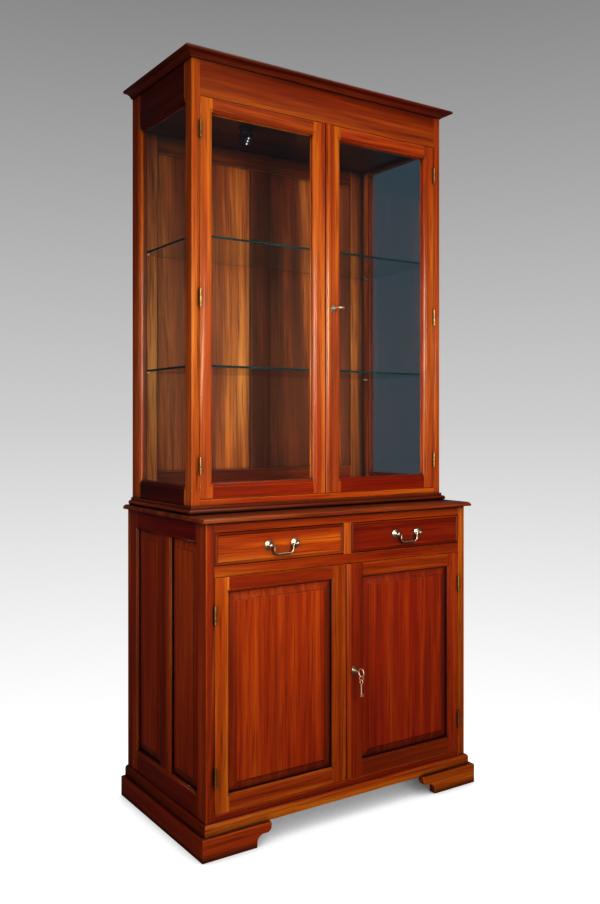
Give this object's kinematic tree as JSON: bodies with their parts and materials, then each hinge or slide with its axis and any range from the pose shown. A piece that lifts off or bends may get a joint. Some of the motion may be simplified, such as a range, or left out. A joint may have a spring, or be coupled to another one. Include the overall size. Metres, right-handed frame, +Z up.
{
  "type": "display bookcase",
  "caption": "Tall two-stage mahogany display bookcase: glazed doors and sides with glass shelves above, drawers and panelled cupboard doors on a bracket-foot base below.",
  "frame": {"origin": "on the floor, at the middle of the bounding box's base", "axes": "+Z up, the doors and drawers face -Y, +X to the right as seen from the front"},
  "size_m": [0.944, 0.544, 2.1],
  "materials": {
    "mahogany": "french-polished mahogany, satin to gloss",
    "panel_mahogany": "french-polished figured mahogany, deep red-brown",
    "dark_mahogany": "dark stained mahogany, dull",
    "pale_wood": "unpolished pale wood",
    "clear_glass": "clear polished",
    "old_brass": "aged, softly polished",
    "lock_metal": "dull grey",
    "black_enamel": "satin black",
    "lens_glass": "frosted lens"
  },
  "bodies": {
    "cabinet": {"bracket_feet": "mahogany", "plinth_blocks": "dark_mahogany", "plinth_moulding": "mahogany", "base_corner_posts": "mahogany", "base_end_rails": "mahogany", "base_end_panels": "panel_mahogany", "base_front_rails": "mahogany", "base_floor_board": "pale_wood", "base_back_panel": "pale_wood", "drawer_dust_board": "pale_wood", "drawer_guides": "pale_wood", "cupboard_shelf": "pale_wood", "shelf_pins": "old_brass", "base_top": "mahogany", "waist_moulding": "mahogany", "upper_corner_posts": "mahogany", "upper_end_rails": "mahogany", "side_panes": "clear_glass", "side_pane_beads": "mahogany", "upper_front_rails": "mahogany", "upper_floor_board": "dark_mahogany", "upper_ceiling_board": "dark_mahogany", "top_board": "dark_mahogany", "cornice": "mahogany", "upper_back_frame": "dark_mahogany", "upper_back_panels": "dark_mahogany", "glass_shelves": "clear_glass", "spotlight_plate": "black_enamel", "hinge_frame_leaves": "old_brass"},
    "left_drawer": {"left_drawer_front": "mahogany", "left_drawer_box": "pale_wood", "left_handle_posts": "old_brass"},
    "right_drawer": {"right_drawer_front": "mahogany", "right_drawer_box": "pale_wood", "right_handle_posts": "old_brass"},
    "left_bail": {"left_handle_bail": "old_brass"},
    "right_bail": {"right_handle_bail": "old_brass"},
    "base_left_door": {"base_left_door_frame": "mahogany", "base_left_door_panel": "panel_mahogany", "base_left_door_leaves": "old_brass"},
    "base_right_door": {"base_right_door_frame": "mahogany", "base_right_door_panel": "panel_mahogany", "base_right_door_leaves": "old_brass", "base_lock": "lock_metal"},
    "upper_left_door": {"upper_left_door_frame": "mahogany", "upper_left_door_pane": "clear_glass", "upper_left_door_beads": "mahogany", "upper_left_door_leaves": "old_brass"},
    "upper_right_door": {"upper_right_door_frame": "mahogany", "upper_right_door_pane": "clear_glass", "upper_right_door_beads": "mahogany", "upper_right_door_leaves": "old_brass", "upper_lock": "lock_metal"},
    "base_key": {"base_key": "old_brass"},
    "spare_key": {"spare_key": "old_brass"},
    "base_bolt": {"base_lock_bolt": "lock_metal"},
    "upper_key": {"upper_key": "old_brass"},
    "upper_bolt": {"upper_lock_bolt": "lock_metal"},
    "lamp_head": {"spotlight_head": "black_enamel", "spotlight_lenses": "lens_glass"}
  },
  "joints": [
    {"name": "left_drawer_slide", "type": "slide", "parent": "cabinet", "child": "left_drawer", "axis": [0, -1, 0], "range_m": [0, 0.3]},
    {"name": "right_drawer_slide", "type": "slide", "parent": "cabinet", "child": "right_drawer", "axis": [0, -1, 0], "range_m": [0, 0.3]},
    {"name": "left_bail_swing", "type": "hinge", "parent": "left_drawer", "child": "left_bail", "pos_m": [-0.21925, -0.235, 0.7845], "axis": [-1, 0, 0], "range_deg": [0, 80]},
    {"name": "right_bail_swing", "type": "hinge", "parent": "right_drawer", "child": "right_bail", "pos_m": [0.21925, -0.235, 0.7845], "axis": [-1, 0, 0], "range_deg": [0, 80]},
    {"name": "base_left_door_swing", "type": "hinge", "parent": "cabinet", "child": "base_left_door", "pos_m": [-0.42425, -0.2276, 0.4075], "axis": [0, 0, -1], "range_deg": [0, 110]},
    {"name": "base_right_door_swing", "type": "hinge", "parent": "cabinet", "child": "base_right_door", "pos_m": [0.42425, -0.2276, 0.4075], "axis": [0, 0, 1], "range_deg": [0, 110]},
    {"name": "upper_left_door_swing", "type": "hinge", "parent": "cabinet", "child": "upper_left_door", "pos_m": [-0.41475, -0.1276, 1.4435], "axis": [0, 0, -1], "range_deg": [0, 110]},
    {"name": "upper_right_door_swing", "type": "hinge", "parent": "cabinet", "child": "upper_right_door", "pos_m": [0.41475, -0.1276, 1.4435], "axis": [0, 0, 1], "range_deg": [0, 110]},
    {"name": "base_key_turn", "type": "hinge", "parent": "base_right_door", "child": "base_key", "pos_m": [0.022, -0.224, 0.4085], "axis": [0, 1, 0], "range_deg": [0, 90]},
    {"name": "base_bolt_throw", "type": "slide", "parent": "base_right_door", "child": "base_bolt", "axis": [-1, 0, 0], "range_m": [0, 0.008]},
    {"name": "spare_key_hang", "type": "hinge", "parent": "base_key", "child": "spare_key", "pos_m": [0.022, -0.259, 0.3973], "axis": [0, 1, 0], "range_deg": [-90, 0]},
    {"name": "upper_key_turn", "type": "hinge", "parent": "upper_right_door", "child": "upper_key", "pos_m": [0.022, -0.124, 1.4435], "axis": [0, 1, 0], "range_deg": [0, 90]},
    {"name": "upper_bolt_throw", "type": "slide", "parent": "upper_right_door", "child": "upper_bolt", "axis": [-1, 0, 0], "range_m": [0, 0.008]},
    {"name": "lamp_tilt", "type": "hinge", "parent": "cabinet", "child": "lamp_head", "pos_m": [-0.164, 0.062, 1.955], "axis": [1, 0, 0], "range_deg": [-30, 30]}
  ],
  "couplings": [
    {"joint": "base_bolt_throw", "follows": "base_key_turn", "m_per_rad": 0.00509},
    {"joint": "spare_key_hang", "follows": "base_key_turn", "ratio": -1},
    {"joint": "upper_bolt_throw", "follows": "upper_key_turn", "m_per_rad": 0.00509}
  ]
}
